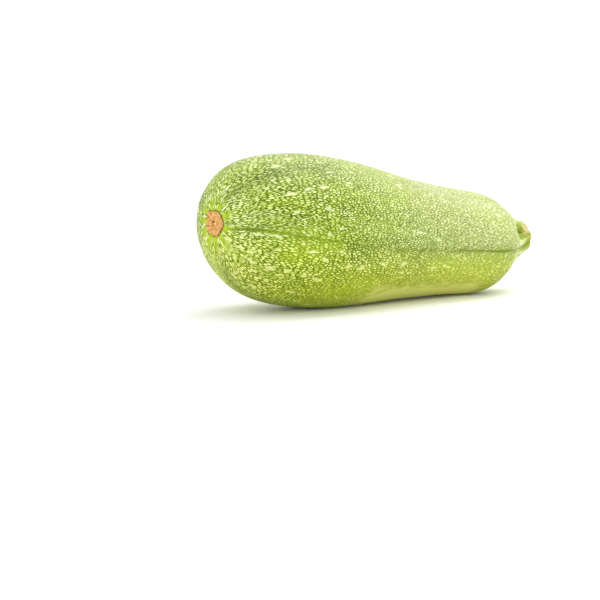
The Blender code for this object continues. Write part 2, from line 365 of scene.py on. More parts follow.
def along_skin(places):
    """How far each place is from the scar, over the skin."""
    from_tip, radius, _ = on_fruit(places)
    over_skin = np.interp(from_tip, stations, travelled)
    near_scar = (from_tip > SCAR_SEAT_IN / 2) & (from_tip < 2 * SCAR_SEAT_IN)
    over_skin[near_scar & (radius < SEAT_RADIUS)] = -SCAR_SEAT_IN
    in_stem_seat = from_tip > stations[-1] - STATION
    over_skin[in_stem_seat] = STEM_EDGE + np.maximum(stem_seat_radius - radius[in_stem_seat], 0)
    return over_skin


# %% [markdown]
# ## A dome under the stem
#
# The plain fruit ends in a flat seat for its stem, which would show between the stem's ribs. On
# the living fruit the skin rises between the roots of the stem. The seat is inset twice, which
# gives it rings of its own, and the rings are lifted into a low dome.

# %% Lifting the seat
# How high the dome would be on the axis, where no point lies
DOME_HEIGHT = 4.5 * MM
SEAT_INSET = 3.5 * MM


def select_faces(piece, wanted):
    """Opens a piece in edit mode with only the wanted faces selected."""
    take(piece)
    bpy.ops.object.mode_set(mode="EDIT")
    bpy.ops.mesh.select_mode(type="FACE")
    bpy.ops.mesh.select_all(action="DESELECT")
    bpy.ops.object.mode_set(mode="OBJECT")
    for face in piece.data.polygons:
        face.select = bool(wanted(face))
    bpy.ops.object.mode_set(mode="EDIT")


select_faces(skin, lambda face: abs((np.array(face.center) - seat_centre) @ axis) < SEAT_LEVEL)
bpy.ops.mesh.inset(thickness=SEAT_INSET)
bpy.ops.mesh.inset(thickness=SEAT_INSET)
bpy.ops.object.mode_set(mode="OBJECT")

places = coordinates(skin)
from_tip, radius, directions = on_fruit(places)
share_out = np.clip(radius / stem_seat_radius, 0, 1)
dome = DOME_HEIGHT * (1 - share_out**2) * (from_tip > stations[-1] - STATION)
along = along_skin(places)
place_points(skin, places + np.outer(dome, axis))
store(skin, "along", along)
store(skin, "heading", np.stack((np.cos(directions), np.sin(directions), 0 * directions), axis=1))
print("the seat is now a dome", round(dome.max() / MM, 1), "mm high")

# %% [markdown]
# ## Grooves that wander
#
# Ten shallow grooves run from the scar to the stem, and the skin is darkest along them. The plain
# solid has them at even steps. On a real fruit none runs quite straight, so each one here drifts a
# few degrees, and the whole skin is twisted to follow. Moving the points round the axis keeps the
# fruit's outline, which moving them in or out would not.

# %% Twisting the skin
FIRST_GROOVE = math.radians(-99)
GROOVE_COUNT = 10
GROOVE_STEP = math.tau / GROOVE_COUNT

# Near the scar, amidships and near the stem, as shares of the way along the skin
THREE_PLACES = (0.12, 0.5, 0.9)
# How each groove drifts, in degrees, at the three places
DRIFT = (
    (8, 4, 0),
    (2, -3, 0),
    (-7, -3, 1),
    (-3, 3, 2),
    (-2, 4, 0),
    (-3, -2, -1),
    (9, 3, 0),
    (7, 6, 1),
    (-8, -1, -4),
    (-2, 0, 3),
)
# How dark the skin is along each groove, from 0 to 1, at the three places
DARKNESS = (
    (0.9, 0.3, 0.5),
    (0.6, 0.2, 0.3),
    (0.9, 0.4, 0.5),
    (0.6, 0.3, 0.3),
    (0.8, 0.4, 0.5),
    (0.6, 0.2, 0.3),
    (1.0, 0.2, 0.3),
    (0.3, 0.1, 0.1),
    (0.75, 0.3, 0.8),
    (0.5, 0.2, 0.4),
)
# The drift fades out over these shares of the way, before the scar and before the stem
DRIFT_FADE_AT_SCAR = 0.08
DRIFT_FADE_AT_STEM = 0.06


def ramp(value, start, length):
    """Rises from 0 at a start to 1 a length further on, and stays there."""
    return np.clip((value - start) / length, 0, 1)


def between_places(share, values):
    """A value that changes evenly from near the scar, over amidships, to near the stem."""
    return np.interp(share, THREE_PLACES, values)


def around(directions, table, share):
    """The value of a table of grooves at each direction, eased between one groove and the next."""
    place = ((directions - FIRST_GROOVE) % math.tau) / GROOVE_STEP
    before = np.floor(place).astype(int) % GROOVE_COUNT
    part = place - np.floor(place)
    part = part * part * (3 - 2 * part)
    columns = np.array([between_places(share, row) for row in table])
    everyone = np.arange(len(directions))
    first = columns[before, everyone]
    second = columns[(before + 1) % GROOVE_COUNT, everyone]
    return first * (1 - part) + second * part


def share_along(piece):
    """Share of the way from the scar to the stem, at each point."""
    return np.clip(read(piece, "along") / STEM_EDGE, 0, 1)


def directions_of(piece):
    """The direction of each point round its piece, in radians, as it was stored."""
    heading = read(piece, "heading")
    return np.arctan2(heading[:, 1], heading[:, 0])


def twist(piece):
    """Turns the points of the skin round the axis, by as much as the grooves drift."""
    share = share_along(piece)
    fade = ramp(share, 0, DRIFT_FADE_AT_SCAR) * ramp(1 - share, 0, DRIFT_FADE_AT_STEM)
    turn = np.radians(around(directions_of(piece), DRIFT, share)) * fade
    places = coordinates(piece)
    _, radius, old = on_fruit(places)
    sideways = np.outer(np.cos(old + turn) - np.cos(old), side)
    upwards = np.outer(np.sin(old + turn) - np.sin(old), up)
    place_points(piece, places + (sideways + upwards) * radius[:, None])
    return np.degrees(np.abs(turn)).max()


print("the grooves drift by up to", round(twist(skin), 1), "degrees")

# %% [markdown]
# ## A finer skin
#
# Two rounds of subdivision give faces about 0.7 mm wide. The skin of a real fruit isn't a machined
# surface: it has low swellings a thumb wide, it puckers into a soft lip round the scar, and it
# folds where the stem's grooves run into it. All are small moves of the points, in or out, worked
# out from noise and from where a point lies. A sculpted copy would be harder to correct.

# %% Swellings and puckers
SWELLING_HEIGHT = 0.35 * MM
SWELLING_WIDTH = 22 * MM
SWELLING_FADE = 0.1
SCAR_LIP_HEIGHT = 0.5 * MM
SCAR_LIP_WIDTH = 3.0 * MM
# Where the stem's grooves run into the skin, in degrees round the fruit, and how high the lip is
# that stands on the upper side of each
STEM_LIPS = ((9, 0.5 * MM), (81, 0.3 * MM), (153, 0.2 * MM), (194, 1.0 * MM), (297, 0.5 * MM))
# A lip stands this many degrees beside its fold, and both spread over some degrees
LIP_BESIDE = 15
LIP_SPREAD = 12
FOLD_SPREAD = 7
# Both are deepest this far from the stem, and fade over a reach
FOLD_MIDDLE = 2 * MM
FOLD_REACH = 5.0 * MM


def subdivide(piece, levels):
    """Smooths a piece with a subdivision surface, and applies it."""
    take(piece)
    surface = piece.modifiers.new("smooth", "SUBSURF")
    surface.levels = levels
    surface.render_levels = levels
    bpy.ops.object.modifier_apply(modifier=surface.name)
    bpy.ops.object.shade_smooth()


def groove_depth(directions):
    """1 in the middle of each groove, easing to nought between two of them."""
    place = ((directions - FIRST_GROOVE) % GROOVE_STEP) / GROOVE_STEP
    return np.cos(math.pi * place) ** 2


def bump_at(value, middle, width):
    """1 where value is middle, falling softly away over a width."""
    return np.exp(-((value - middle) / width) ** 2)


def angle_between(directions, degrees):
    """Degrees between each direction and one of them."""
    return np.abs((np.degrees(directions) - degrees + 180) % 360 - 180)


def outward(piece):
    """The direction straight out from the surface, at each point."""
    normals = np.empty(len(piece.data.vertices) * 3)
    piece.data.vertex_normals.foreach_get("vector", normals)
    return normals.reshape(-1, 3)


def shape_skin(piece):
    """Moves the points of the skin in or out."""
    places = coordinates(piece)
    share = share_along(piece)
    from_scar = read(piece, "along")
    directions = directions_of(piece)
    swelling = np.array([noise.noise(Vector(place) / SWELLING_WIDTH) for place in places])
    fade = ramp(share, 0, SWELLING_FADE) * ramp(1 - share, 0, SWELLING_FADE)
    height = SWELLING_HEIGHT * swelling * fade
    scar_lip = bump_at(from_scar, SCAR_LIP_WIDTH, SCAR_LIP_WIDTH) * (from_scar > 0)
    height += SCAR_LIP_HEIGHT * scar_lip * (1 - groove_depth(directions))
    near_stem = bump_at(STEM_EDGE - from_scar, FOLD_MIDDLE, FOLD_REACH)
    for groove, lip_height in STEM_LIPS:
        lip = bump_at(angle_between(directions, groove - LIP_BESIDE), 0, LIP_SPREAD)
        fold = bump_at(angle_between(directions, groove), 0, FOLD_SPREAD)
        height += lip_height * near_stem * (lip - fold)
    place_points(piece, places + outward(piece) * height[:, None])


subdivide(skin, 2)
shape_skin(skin)
# The floor presses back what would sink into it
places = coordinates(skin)
places[:, 2] = np.maximum(places[:, 2], 0)
place_points(skin, places)
print("the skin has", len(skin.data.polygons), "faces")

# %% [markdown]
# ## The tube and the sheet of the pattern
#
# The flecks of the skin grew with it: short in the middle of the fruit, and drawn out into rays
# where the skin narrows towards its two ends. Soft noise is therefore laid out on an even tube,
# whose points are kept with the skin, and not in the space of the room. The net could use the tube
# too, but it would cut through solid cells and show slivers of them. It is drawn on the tube
# unrolled into a flat sheet, which is cut open under the fruit, out of sight.

# %% The tube and the sheet
TUBE_RADIUS = 31 * MM
# How far the pattern moves on for each step along the skin: less makes longer flecks
PACE = (
    (0, 0.8), (8 * MM, 0.55), (22 * MM, 0.32), (50 * MM, 0.42),
    (90 * MM, 0.46), (130 * MM, 0.38), (165 * MM, 0.28),
)
# The steps in which it is summed up, which reach past both ends of the skin
PACE_STEPS = np.linspace(-20 * MM, 220 * MM, 481)
# The sheet is cut open along this direction
SHEET_EDGE = math.radians(261)


def travel(from_scar):
    """How far along the tube a point lies: the pace, summed up from the scar."""
    pace = np.interp(PACE_STEPS, *zip(*PACE))
    return np.interp(from_scar, PACE_STEPS, np.cumsum(pace) * (PACE_STEPS[1] - PACE_STEPS[0]))


def store_tube(piece):
    """Keeps each point's place on the tube."""
    directions = directions_of(piece)
    store(piece, "tube", np.stack((
        TUBE_RADIUS * np.cos(directions),
        TUBE_RADIUS * np.sin(directions),
        travel(read(piece, "along")),
    ), axis=1))


def store_sheet(piece):
    """Keeps the tube unrolled, for each corner of each face, so that no face is torn at the cut."""
    mesh = piece.data
    corners = np.empty(len(mesh.loops), int)
    mesh.loops.foreach_get("vertex_index", corners)
    faces = np.repeat(np.arange(len(mesh.polygons)), [face.loop_total for face in mesh.polygons])
    turn = ((directions_of(piece) - SHEET_EDGE) % math.tau)[corners]
    most = np.zeros(len(mesh.polygons))
    np.maximum.at(most, faces, turn)
    turn = np.where(most[faces] - turn > math.pi, turn + math.tau, turn)
    ahead = travel(read(piece, "along"))[corners]
    sheet = np.stack((TUBE_RADIUS * turn, ahead, np.zeros(len(corners))), axis=1)
    layer = mesh.attributes.new("sheet", "FLOAT_VECTOR", "CORNER")
    layer.data.foreach_set("vector", sheet.ravel())


store_tube(skin)
store_sheet(skin)
print("from scar to stem the pattern measures", round(travel(STEM_EDGE) / MM, 1), "mm")

# %% [markdown]
# ## Numbers for the grooves and the tints
#
# The skin is darkest in its grooves. It is yellowest on its lower side: partly its own colour where
# it lay on the ground, partly painted light and shade from the fruit below. It is paler towards the
# stem, where it matured first, and this pale tint also carries painted sheen, strongest on top, a
# strip of painted sheen along the top and a painted highlight on a swelling beside the stem. A
# painted picture could show this, but it would have to be painted for every side. Rules that say
# how strong each tint is, by direction and distance from the scar, cover all sides at once, and
# each is kept as a number for each point.

# %% Lines and shades of the grooves
LINE_WIDTH = 0.62 * MM
SHADE_WIDTH = 4.6 * MM
# How sharply a dark line is drawn along each groove, from 0 to 1, at the three places
LINES = (
    (0.3, 0.1, 0.2),
    (0.2, 0.1, 0.1),
    (0.3, 0.2, 0.3),
    (0.2, 0.1, 0.1),
    (0.4, 0.2, 0.3),
    (0.2, 0.1, 0.1),
    (0.35, 0.1, 0.1),
    (0.1, 0.0, 0.0),
    (0.85, 0.25, 1.0),
    (0.2, 0.1, 0.2),
)
# Both start this far from the scar, and are in full a little further on
GROOVES_START = 2 * MM
GROOVES_FADE = 6 * MM


def at_groove(table, share, groove):
    """The value of a table of grooves for one groove at each point."""
    columns = np.array([between_places(share, row) for row in table])
    return columns[groove, np.arange(len(share))]


def store_grooves(piece):
    """Keeps how strongly the line and the shade of the nearest groove show at each point."""
    radius = on_fruit(coordinates(piece))[1]
    past_first = directions_of(piece) - FIRST_GROOVE
    turn_to_groove = (past_first + GROOVE_STEP / 2) % GROOVE_STEP - GROOVE_STEP / 2
    nearest = np.round((past_first % math.tau) / GROOVE_STEP).astype(int) % GROOVE_COUNT
    share = share_along(piece)
    fade = ramp(read(piece, "along"), GROOVES_START, GROOVES_FADE)
    line = bump_at(turn_to_groove * radius, 0, LINE_WIDTH)
    shade = bump_at(turn_to_groove * radius, 0, SHADE_WIDTH)
    store(piece, "stripe", at_groove(LINES, share, nearest) * line * fade)
    store(piece, "shade", at_groove(DARKNESS, share, nearest) * shade * fade)
    store(piece, "radius", radius)


store_grooves(skin)

# %% Tints
# Degrees are counted from the far side, over the top. A spot has its middle and its spread in
# degrees round the fruit, then its middle and its reach along the skin.
# The streaks low on the near side, as a spot
LOW_STREAKS = (234, 32, 18 * MM, 17 * MM)
# The rays round the scar
RAYS_STRENGTH = 0.8
RAYS_MIDDLE = 7 * MM
RAYS_REACH = 11 * MM
# The lime green in the grooves at the scar
LIME_REACH = 6.5 * MM
# A strip of painted sheen along the top, which starts at a share of the way from the scar
TOP_SHEEN_STRENGTH = 0.5
TOP_SHEEN_AT = 80
TOP_SHEEN_SPREAD = 48
TOP_SHEEN_START = 0.02
TOP_SHEEN_FADE = 0.2
# The paler skin towards the stem, partly its own tint and partly painted sheen, and how much of it
# shows on the underside, where less of the sheen falls
RIPE_AND_SHEEN_START = 0.3
RIPE_AND_SHEEN_FADE = 0.55
RIPE_AND_SHEEN_BELOW = 0.3
# A painted highlight on the swelling beside the stem, as a spot whose distance is counted from the stem
SWELLING_HIGHLIGHT = (181, 9, 3 * MM, 5 * MM)
SWELLING_HIGHLIGHT_STRENGTH = 0.6
# The bare band on which the fruit lay: its half width and its soft edge, in degrees, then where it
# starts and ends
BARE_AT = 262
BARE_HALF_WIDTH = 52
BARE_EDGE = 24
BARE_START = 66 * MM
BARE_START_FADE = 25 * MM
BARE_END = 160 * MM
BARE_END_FADE = 15 * MM
# The yellow of the lower side, which is weaker near the scar: partly the skin's own colour where it
# lay, partly painted light and shade from the fruit below
BELLY_STRENGTH = 1.8
BELLY_AT_SCAR = 0.3
BELLY_IN_FULL = 0.5


def at_spot(directions, distance, spot):
    """1 in the middle of a spot, falling softly away round the fruit and along it."""
    degrees, spread, middle, reach = spot
    return bump_at(angle_between(directions, degrees), 0, spread) * bump_at(distance, middle, reach)


def store_tints(piece):
    """Keeps how strong each tint is at each point."""
    directions = directions_of(piece)
    share = share_along(piece)
    from_scar = read(piece, "along")
    upper = 0.5 + 0.5 * np.sin(directions)
    rays = RAYS_STRENGTH * bump_at(from_scar, RAYS_MIDDLE, RAYS_REACH)
    store(piece, "rays", np.maximum(rays, at_spot(directions, from_scar, LOW_STREAKS)))
    store(piece, "lime", groove_depth(directions) * bump_at(from_scar, 0, LIME_REACH))
    # A strip of painted sheen along the top
    top_sheen = TOP_SHEEN_STRENGTH * bump_at(angle_between(directions, TOP_SHEEN_AT), 0, TOP_SHEEN_SPREAD)
    # Paler towards the stem: partly the skin's own tint, partly painted sheen, which is stronger on top
    ripe = ramp(share, RIPE_AND_SHEEN_START, RIPE_AND_SHEEN_FADE) * (RIPE_AND_SHEEN_BELOW + (1 - RIPE_AND_SHEEN_BELOW) * upper)
    ripe += top_sheen * ramp(share, TOP_SHEEN_START, TOP_SHEEN_FADE)
    # A painted highlight on the swelling beside the stem
    ripe += SWELLING_HIGHLIGHT_STRENGTH * at_spot(directions, STEM_EDGE - from_scar, SWELLING_HIGHLIGHT)
    store(piece, "ripe", np.clip(ripe, 0, 1))
    bare = ramp(BARE_HALF_WIDTH - angle_between(directions, BARE_AT), 0, BARE_EDGE)
    bare *= ramp(from_scar, BARE_START, BARE_START_FADE)
    bare *= ramp(BARE_END - from_scar, 0, BARE_END_FADE)
    store(piece, "bare", bare)
    belly = np.clip(BELLY_STRENGTH * (0.5 - upper), 0, 1)
    belly *= BELLY_AT_SCAR + (1 - BELLY_AT_SCAR) * ramp(share, 0, BELLY_IN_FULL)
    store(piece, "belly", belly)


store_tints(skin)
print("the skin keeps", ", ".join(layer.name for layer in skin.data.attributes if layer.name[0] != "."))

# %% [markdown]
# ## The material of the skin
#
# Seen close, the skin is a net of thin dark green lines round pale flecks of about a millimetre.
# Cells that grow round scattered points make such a net, so a Voronoi texture draws it: the
# distance to a cell's edge gives the lines, and a random number for each cell says how pale its
# fleck is. A few larger blotches, the dark grooves and the slow changes of tint lie over it.

# %% Colours of the skin
NET_DARK = srgb(58, 82, 0)
NET_LIGHT = srgb(96, 118, 0)
NET_RIPE_AND_SHEEN = srgb(170, 181, 104)
GROOVE_DARK = srgb(62, 84, 4)
GROOVE_LINE = srgb(92, 118, 22)
LIME = srgb(166, 192, 20)
FLECK_FAINT = srgb(160, 180, 60)
FAINT_RIPE_AND_SHEEN = srgb(200, 207, 144)
FLECK_YELLOW = srgb(208, 225, 114)
FLECK_PALE = srgb(222, 235, 158)
FLECK_RIPE_AND_SHEEN = srgb(222, 229, 184)
FLECK_RAY = srgb(246, 252, 196)
BLOTCH = srgb(232, 238, 184)
BELLY = srgb(254, 245, 92)
LOW_GREEN = srgb(166, 182, 46)
BARE = srgb(212, 213, 114)

# %% Helpers for patterns
def attribute(tree, name, output="Fac"):
    """The numbers that were stored with the mesh under a name."""
    return add(tree, "ShaderNodeAttribute", attribute_name=name).outputs[output]


def weigh(tree, value, amount):
    """A value times an amount."""
    return calculate(tree, "MULTIPLY", value, amount)


def mix_numbers(tree, amount, first, second):
    """Mixes two numbers: the node's inputs 2 and 3, and its output 0."""
    return add(tree, "ShaderNodeMix", {0: amount, 2: first, 3: second}).outputs[0]


def wander(tree, place, size, start, end):
    """Soft noise that wanders between a start and an end."""
    return ease(tree, cloud(tree, place, size), 0.3, 0.7, start, end)


def stirred(tree, place, by, size, amount):
    """A place moved about by soft noise at another, so that what is drawn there gets ragged."""
    wobble = add(tree, "ShaderNodeTexNoise", {"Vector": by, "Scale": 1 / size, "Detail": 1.0})
    centred = add(tree, "ShaderNodeVectorMath", {0: wobble.outputs["Color"], 1: (0.5, 0.5, 0.5)},
                  operation="SUBTRACT")
    scaled = add(tree, "ShaderNodeVectorMath", {0: centred.outputs[0], "Scale": amount},
                 operation="SCALE")
    return add(tree, "ShaderNodeVectorMath", {0: place, 1: scaled.outputs[0]}).outputs[0]


# %% Flecks
FAINTEST_FLECK = 0.4
PALEST_FLECK = 0.95
EDGE_WANDER = 0.1
# The size of the cells, and the width of their lines, where the fruit is thin
WIDE_CELLS = (2.7 * MM, 0.66 * MM)
# Smaller ones, and the radius from which the fruit is thick enough for them
SMALLER_CELLS = ((1.6 * MM, 0.4 * MM, 10.5 * MM), (0.9 * MM, 0.24 * MM, 18 * MM))
RADIUS_WANDER = 2 * MM
RADIUS_BLUR = 0.6 * MM


def flecks(tree, place, size, line, cover):
    """Pale cells of a size, parted by lines. Each is more or less pale; cover is how pale most are."""
    inputs = {"Vector": place, "Scale": 1 / size}
    cell = add(tree, "ShaderNodeTexVoronoi", inputs, voronoi_dimensions="2D").outputs["Color"]
    chance = add(tree, "ShaderNodeSeparateColor", {"Color": cell}).outputs[0]
    edge = add(tree, "ShaderNodeTexVoronoi", inputs, voronoi_dimensions="2D",
               feature="DISTANCE_TO_EDGE").outputs["Distance"]
    edge = calculate(tree, "ADD", edge, wander(tree, place, 0.7 * size, -EDGE_WANDER, EDGE_WANDER))
    inside = ease(tree, edge, 0.25 * line / size, 1.15 * line / size)
    paler = calculate(tree, "SUBTRACT", cover, chance)
    pale = ease(tree, paler, -0.5, 0.45, FAINTEST_FLECK, PALEST_FLECK)
    return calculate(tree, "MULTIPLY", inside, pale)


flesh, tree, shader = new_material("zucchini_skin")
tube = attribute(tree, "tube", "Vector")
rays = attribute(tree, "rays")
lime = attribute(tree, "lime")
ripe = attribute(tree, "ripe")
bare = attribute(tree, "bare")
belly = attribute(tree, "belly")

ragged = stirred(tree, attribute(tree, "sheet", "Vector"), tube, 1.3 * MM, 0.9 * MM)
cover = ease(tree, cloud(tree, tube, 11 * MM), 0.32, 0.68, 0.5, 0.64)
cover = calculate(tree, "ADD", cover, weigh(tree, rays, 0.3))
radius_wander = wander(tree, tube, 3 * MM, -RADIUS_WANDER, RADIUS_WANDER)
radius = calculate(tree, "ADD", attribute(tree, "radius"), radius_wander)
fleck = flecks(tree, ragged, *WIDE_CELLS, cover)
for size, line, from_radius in SMALLER_CELLS:
    thick_enough = ease(tree, radius, from_radius - RADIUS_BLUR, from_radius + RADIUS_BLUR)
    fleck = mix_numbers(tree, thick_enough, fleck, flecks(tree, ragged, size, line, cover))

# Flecks fade where the skin is bare, along the sharp dark lines and in the lime green
broken = ease(tree, cloud(tree, tube, 5 * MM), 0.35, 0.6, 0.6, 1.0)
stripe = weigh(tree, attribute(tree, "stripe"), broken)
ragged_bare = calculate(tree, "ADD", bare, wander(tree, tube, 2.5 * MM, -0.2, 0.2))
fleck = weigh(tree, fleck, ease(tree, ragged_bare, 0.3, 0.7, 1.0, 0.2))
fleck = weigh(tree, fleck, ease(tree, stripe, 0.0, 0.9, 1.0, 0.1))
fleck = weigh(tree, fleck, ease(tree, lime, 0.2, 0.9, 1.0, 0.25))

# %% Blotches
BLOTCH_CELL = 2.9 * MM
# Only cells whose chance lies past these limits, about one in ten, hold a blotch
BLOTCH_CHANCE = (0.86, 0.94)

blotch_place = stirred(tree, ragged, tube, 2.5 * MM, 2.5 * MM)
blotch_cell = add(tree, "ShaderNodeTexVoronoi", {"Vector": blotch_place, "Scale": 1 / BLOTCH_CELL},
                  voronoi_dimensions="2D")
chance = add(tree, "ShaderNodeSeparateColor", {"Color": blotch_cell.outputs["Color"]}).outputs[1]
blotch = ease(tree, blotch_cell.outputs["Distance"], 0.34, 0.14)
blotch = weigh(tree, blotch, ease(tree, chance, *BLOTCH_CHANCE))
blotch = weigh(tree, blotch, ease(tree, bare, 0.2, 0.7, 0.7, 0.0))

# %% The colours of the skin together
grain = ease(tree, cloud(tree, tube, 4 * MM), 0.35, 0.65)
wide_patches = ease(tree, cloud(tree, tube, 26 * MM, 1), 0.45, 0.65, 0.0, 0.35)
net = mix(tree, grain, NET_DARK, NET_LIGHT)
# Paler towards the stem and on top: partly the skin's own tint, partly painted sheen and a painted
# highlight
net = mix(tree, weigh(tree, ripe, 0.8), net, NET_RIPE_AND_SHEEN)
net = mix(tree, stripe, net, GROOVE_DARK)
net = mix(tree, calculate(tree, "MAXIMUM", lime, wide_patches), net, LIME)
pale = mix(tree, ease(tree, cloud(tree, tube, 7 * MM), 0.35, 0.65), FLECK_YELLOW, FLECK_PALE)
pale = mix(tree, ripe, pale, FLECK_RIPE_AND_SHEEN)
pale = mix(tree, weigh(tree, rays, 0.85), pale, FLECK_RAY)
faint = mix(tree, ripe, FLECK_FAINT, FAINT_RIPE_AND_SHEEN)
colour = mix(tree, ease(tree, fleck, 0.0, 0.5), net, faint)
colour = mix(tree, ease(tree, fleck, 0.3, 1.0), colour, pale)
colour = mix(tree, blotch, colour, BLOTCH)
colour = mix(tree, weigh(tree, attribute(tree, "shade"), 0.3), colour, GROOVE_DARK)
colour = mix(tree, weigh(tree, stripe, 0.5), colour, GROOVE_LINE)
# The lower side: partly the skin's own yellow, partly painted light and shade from the fruit below
colour = mix(tree, weigh(tree, belly, 0.55), colour, LOW_GREEN)
colour = mix(tree, belly, colour, BELLY, blend="MULTIPLY")
colour = mix(tree, ease(tree, ragged_bare, 0.2, 0.9, 0.0, 0.78), colour, BARE)
tree.links.new(colour, shader.inputs["Base Color"])

# %% The sheen and the relief of the skin
RELIEF = 0.08 * MM

tree.links.new(wander(tree, tube, 3 * MM, 0.42, 0.55), shader.inputs["Roughness"])
shader.inputs["Specular IOR Level"].default_value = 0.14
shader.inputs["Sheen Weight"].default_value = 0.03
shader.inputs["Sheen Roughness"].default_value = 0.3
height = calculate(tree, "ADD", weigh(tree, fleck, 0.35), cloud(tree, tube, 0.6 * MM, 3))
bump = add(tree, "ShaderNodeBump", {"Strength": 0.3, "Distance": RELIEF, "Height": height})
tree.links.new(bump.outputs[0], shader.inputs["Normal"])
skin.data.materials.append(flesh)
print("the skin's material has", len(tree.nodes), "nodes")

# %% [markdown]
# ## The stem stub
#
# The stalk is woody and five-ribbed, and a callus has dried round its cut. Its cage is the plain
# stub, smoothed finely enough for the fibres along the ribs to be real shape. They could be
# sculpted, but noise that is long up the stem and short round it makes the same fibres by rule. The
# ribs are pale on their crests, and towards the foot their grooves are darkened with painted shade,
# so how far out a point lies is kept before smoothing.

# %% Rings of points
def rings_of(piece):
    """The points ring by ring, from the pole at -X to the pole at +X. Most edges meet at a pole."""
    mesh = piece.data
    neighbours = [set() for _ in mesh.vertices]
    for edge in mesh.edges:
        a, b = edge.vertices
        neighbours[a].add(b)
        neighbours[b].add(a)
    busiest = sorted(range(len(neighbours)), key=lambda point: len(neighbours[point]))[-2:]
    pole = min(busiest, key=lambda point: mesh.vertices[point].co.x)
    rings, seen = [], {pole}
    ring = {pole}
    while ring:
        rings.append(sorted(ring))
        ring = set().union(*(neighbours[point] for point in ring)) - seen
        seen |= ring
    return rings


def measure(piece, rings):
    """Stores how far along a piece, and in which direction round it, each point lies."""
    places = coordinates(piece)
    along = np.zeros(len(places))
    heading = np.zeros((len(places), 3))
    distance, last_centre, last_radius = 0.0, None, 0.0
    for ring in rings:
        centre = places[ring].mean(0)
        across = places[ring] - centre
        across -= np.outer(across @ axis, axis)
        radius = np.linalg.norm(across, axis=1)
        if last_centre is not None:
            step = np.linalg.norm(centre - last_centre)
            distance += math.hypot(step, radius.mean() - last_radius)
        along[ring] = distance
        if len(ring) > 1:
            heading[ring, 0] = across @ side / radius
            heading[ring, 1] = across @ up / radius
        last_centre, last_radius = centre, radius.mean()
    store(piece, "along", along)
    store(piece, "heading", heading)
    return along


# %% The stem's cage
# The foot is sunk into the skin by this much, so that no gap shows round it
STEM_SINK = 0.9 * MM
# The cut starts at this ring, counted from the pole in the foot
CUT_RING = 8

stem = copy_of("stem", "stem_stub")
stem_rings = rings_of(stem)
stem_along = measure(stem, stem_rings)
places = coordinates(stem)
crest = np.zeros(len(places))
for ring in stem_rings[1:-1]:
    out = np.linalg.norm(places[ring] - places[ring].mean(0), axis=1)
    crest[ring] = (out - out.min()) / (out.max() - out.min())
store(stem, "crest", crest)
STEM_FOOT = stem_along[stem_rings[1][0]]
STEM_CUT = stem_along[stem_rings[CUT_RING][0]]
for ring in stem_rings[:2]:
    places[ring] -= axis * STEM_SINK
place_points(stem, places)
subdivide(stem, 3)

# %% Fibres, callus and patches
FIBRE_HEIGHT = 0.16 * MM
FIBRES_ROUND = 9
FIBRE_LENGTH = 9 * MM
CALLUS_HEIGHT = 0.35 * MM
CALLUS_REACH = 1.3 * MM
KNOTS_ROUND = 3
KNOT_LENGTH = 2 * MM
CUT_EDGE = 1.2 * MM
# The fibres are in full from this share of the way up
FIBRES_FULL = 0.1
# How pale the stem is round about: degrees round the fruit, and paleness
PALENESS = (
    (9, 0.2), (45, 0.75), (81, 0.15), (117, 0.6), (150, 0.0), (167, 0.05),
    (180, 0.95), (194, 0.2), (212, 0.75), (255, 0.8), (297, 0.2), (333, 0.75),
)
# Patches: the middle and the spread in degrees, then the share of the way up from which each
# comes in, and over how much it does
SCAB = (148, 15, 0.5, 0.2)
OLIVE = (200, 34, 0.45, 0.25)


def at_patch(degrees, up_side, patch):
    """How much a patch of the stem shows at each point."""
    middle, spread, start, length = patch
    return bump_at(degrees, middle, spread) * ramp(up_side, start, length)


def shape_stem(piece):
    """Raises fibres along the stem, and a callus round its cut."""
    places = coordinates(piece)
    along = read(piece, "along")
    up_side = ramp(along, STEM_FOOT, STEM_CUT - STEM_FOOT)
    callus = bump_at(along, STEM_CUT, CALLUS_REACH)
    height = np.zeros(len(places))
    for point, (x, y, _) in enumerate(read(piece, "heading")):
        fibre = noise.noise(Vector((FIBRES_ROUND * x, FIBRES_ROUND * y, along[point] / FIBRE_LENGTH)))
        knot = noise.noise(Vector((KNOTS_ROUND * x, KNOTS_ROUND * y, along[point] / KNOT_LENGTH)))
        height[point] = FIBRE_HEIGHT * fibre + CALLUS_HEIGHT * callus[point] * (0.6 + knot)
    height *= ramp(up_side, 0, FIBRES_FULL)
    place_points(piece, places + outward(piece) * height[:, None])
    degrees = np.degrees(directions_of(piece)) % 360
    store(piece, "up_side", up_side)
    store(piece, "callus", callus)
    store(piece, "paleness", np.interp(degrees, *zip(*PALENESS), period=360))
    store(piece, "scab", at_patch(degrees, up_side, SCAB))
    store(piece, "olive", at_patch(degrees, up_side, OLIVE))
    store(piece, "cut", ramp(along, STEM_CUT, CUT_EDGE))


shape_stem(stem)
print("the stem has", len(stem.data.polygons), "faces")

# %% The stem's finish
RIB_PALE = srgb(206, 216, 142)
STEM_OLIVE = srgb(132, 147, 0)
STEM_GROOVE_SHADE = srgb(84, 106, 0)
STEM_FOOT_GREEN = srgb(186, 200, 118)
STREAK = srgb(230, 236, 182)
SCAB_PINK = srgb(224, 202, 150)
CALLUS_TAN = srgb(204, 170, 112)
CUT_BEIGE = srgb(196, 186, 128)
CUT_BROWN = srgb(160, 138, 84)

stem_fibre, tree, shader = new_material("stem_fibre")
up_side = attribute(tree, "up_side")
